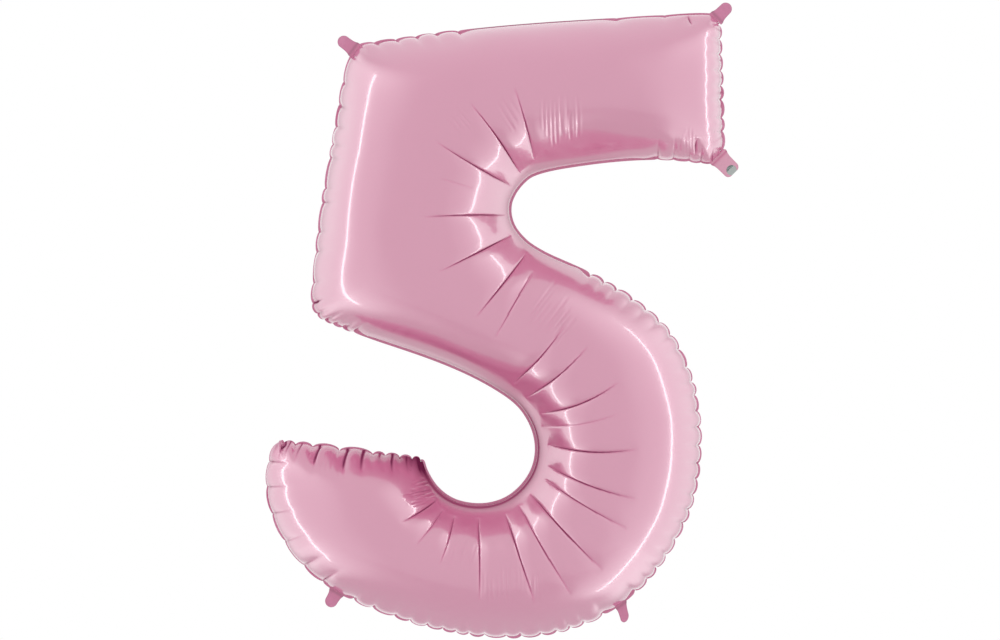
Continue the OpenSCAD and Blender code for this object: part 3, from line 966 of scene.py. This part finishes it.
# ---------------------------------------------------------------- floor and light
# A matt white floor far under the hanging balloon, and a white studio: tall soft walls of light
# at both sides, and a narrow tube in front of each.
floor_paint, tree = new_material("floor_paint")
where = add_node(tree, "ShaderNodeTexCoord").outputs["Object"]
mottle = add_node(tree, "ShaderNodeTexNoise", {"Scale": 3.0, "Detail": 4.0}, {"Vector": where})
pale = add_node(
    tree, "ShaderNodeMix",
    {"data_type": "RGBA", 6: linear("#EDEDED"), 7: linear("#F4F4F4")}, {0: mottle.outputs[0]},
)
matt = add_node(
    tree, "ShaderNodeBsdfPrincipled", {"Roughness": 0.8}, {"Base Color": pale.outputs[2]}
)
add_node(tree, "ShaderNodeOutputMaterial", links={"Surface": matt.outputs[0]})
FLOOR_DROP = 5.2
FLOOR_SIZE = 15.0
bpy.ops.object.select_all(action="DESELECT")
bpy.ops.mesh.primitive_plane_add(
    size=FLOOR_SIZE, location=(view_centre.x, 0, cad_box[0].z - FLOOR_DROP)
)
floor = bpy.context.object
floor.name = "floor"
floor.data.materials.append(floor_paint)

world = bpy.data.worlds.new("studio")
world.use_nodes = True
tree = world.node_tree
tree.nodes.clear()
way = add_node(
    tree, "ShaderNodeSeparateXYZ",
    links={0: add_node(tree, "ShaderNodeTexCoord").outputs["Generated"]},
)
# The room is a little dimmer on the camera's side and towards the floor, and much dimmer at the
# left and right, where the walls of light stand instead.
front = add_node(
    tree, "ShaderNodeMapRange",
    {"interpolation_type": "SMOOTHSTEP", "From Min": -1.0, "From Max": 0.1,
     "To Min": 0.92, "To Max": 1.0},
    {"Value": way.outputs["Y"]},
)
low = add_node(
    tree, "ShaderNodeMapRange",
    {"interpolation_type": "SMOOTHSTEP", "From Min": -0.95, "From Max": -0.2,
     "To Min": 0.92, "To Max": 1.0},
    {"Value": way.outputs["Z"]},
)
sideways = add_node(tree, "ShaderNodeMath", {"operation": "ABSOLUTE"}, {0: way.outputs["X"]})
sides = add_node(
    tree, "ShaderNodeMapRange",
    {"interpolation_type": "SMOOTHSTEP", "From Min": 0.35, "From Max": 0.95,
     "To Min": 1.0, "To Max": 0.45},
    {"Value": sideways.outputs[0]},
)
room = add_node(
    tree, "ShaderNodeMath", {"operation": "MULTIPLY"}, {0: low.outputs[0], 1: front.outputs[0]}
)
room = add_node(
    tree, "ShaderNodeMath", {"operation": "MULTIPLY"}, {0: room.outputs[0], 1: sides.outputs[0]}
)
glow = add_node(
    tree, "ShaderNodeBackground", {"Color": (1, 1, 1, 1)}, {"Strength": room.outputs[0]}
)
add_node(tree, "ShaderNodeOutputWorld", links={"Surface": glow.outputs[0]})
bpy.context.scene.world = world
bpy.context.scene.view_settings.view_transform = "Standard"


def studio_light(name, side, start, end, low, high, radiance, fade):
    """An upright panel between two points of the floor plan, which shows in gloss only.
    fade is the share of its width over which it dims towards its start, or if negative its end."""
    centre = Vector((start[0] + end[0], start[1] + end[1], low + high)) / 2
    width = math.hypot(end[0] - start[0], end[1] - start[1])
    facing = Vector((-side * (end[1] - start[1]), side * (end[0] - start[0]), 0))
    data = bpy.data.lights.new(name, "AREA")
    data.shape = "RECTANGLE"
    data.size, data.size_y = width, high - low
    data.energy = radiance * math.pi * width * (high - low)
    if fade:
        data.use_nodes = True
        light_tree = data.node_tree
        light_tree.nodes.clear()
        spot = add_node(light_tree, "ShaderNodeNewGeometry").outputs["Parametric"]
        along = add_node(light_tree, "ShaderNodeSeparateXYZ", links={0: spot})
        near = 0.0 if (side > 0) == (fade > 0) else 1.0
        far = abs(near - abs(fade))
        faded = add_node(
            light_tree, "ShaderNodeMapRange",
            {"interpolation_type": "SMOOTHSTEP", "From Min": near, "From Max": far},
            {"Value": along.outputs["X"]},
        )
        from_middle = add_node(
            light_tree, "ShaderNodeMath", {"operation": "SUBTRACT", 1: 0.5}, {0: along.outputs["Y"]}
        )
        from_middle = add_node(
            light_tree, "ShaderNodeMath", {"operation": "ABSOLUTE"}, {0: from_middle.outputs[0]}
        )
        ends = add_node(
            light_tree, "ShaderNodeMapRange",
            {"interpolation_type": "SMOOTHSTEP", "From Min": 0.5, "From Max": 0.24},
            {"Value": from_middle.outputs[0]},
        )
        strength = add_node(
            light_tree, "ShaderNodeMath", {"operation": "MULTIPLY"},
            {0: faded.outputs[0], 1: ends.outputs[0]},
        )
        shining = add_node(
            light_tree, "ShaderNodeEmission", links={"Strength": strength.outputs[0]}
        )
        add_node(light_tree, "ShaderNodeOutputLight", links={"Surface": shining.outputs[0]})
    lamp = bpy.data.objects.new(name, data)
    lamp.location = Vector((view_centre.x, 0, view_centre.z)) + centre
    lamp.rotation_euler = facing.to_track_quat("-Z", "Y").to_euler()
    lamp.visible_camera = False
    lamp.visible_diffuse = False
    bpy.context.scene.collection.objects.link(lamp)


WALL_TOP = 3.8
WALL_GLOW = 1.15
TUBE_TOP = 2.6
TUBE_GLOW = 3.7
for side, label, low in ((-1, "left", -3.8), (1, "right", -5.6)):
    front_end, middle, back_end = (side * 0.75, -2.8), (side * 2.6, 0.9), (side * 2.2, 3.6)
    studio_light(label + "_wall", side, front_end, middle, low, WALL_TOP, WALL_GLOW, 0.75)
    studio_light(label + "_back_wall", side, middle, back_end, low, WALL_TOP, WALL_GLOW, -1.0)
    tube = (side * 2.37, -0.62), (side * 2.4, -0.46)
    studio_light(label + "_tube", side, *tube, low + 1.1, TUBE_TOP, TUBE_GLOW, 0)
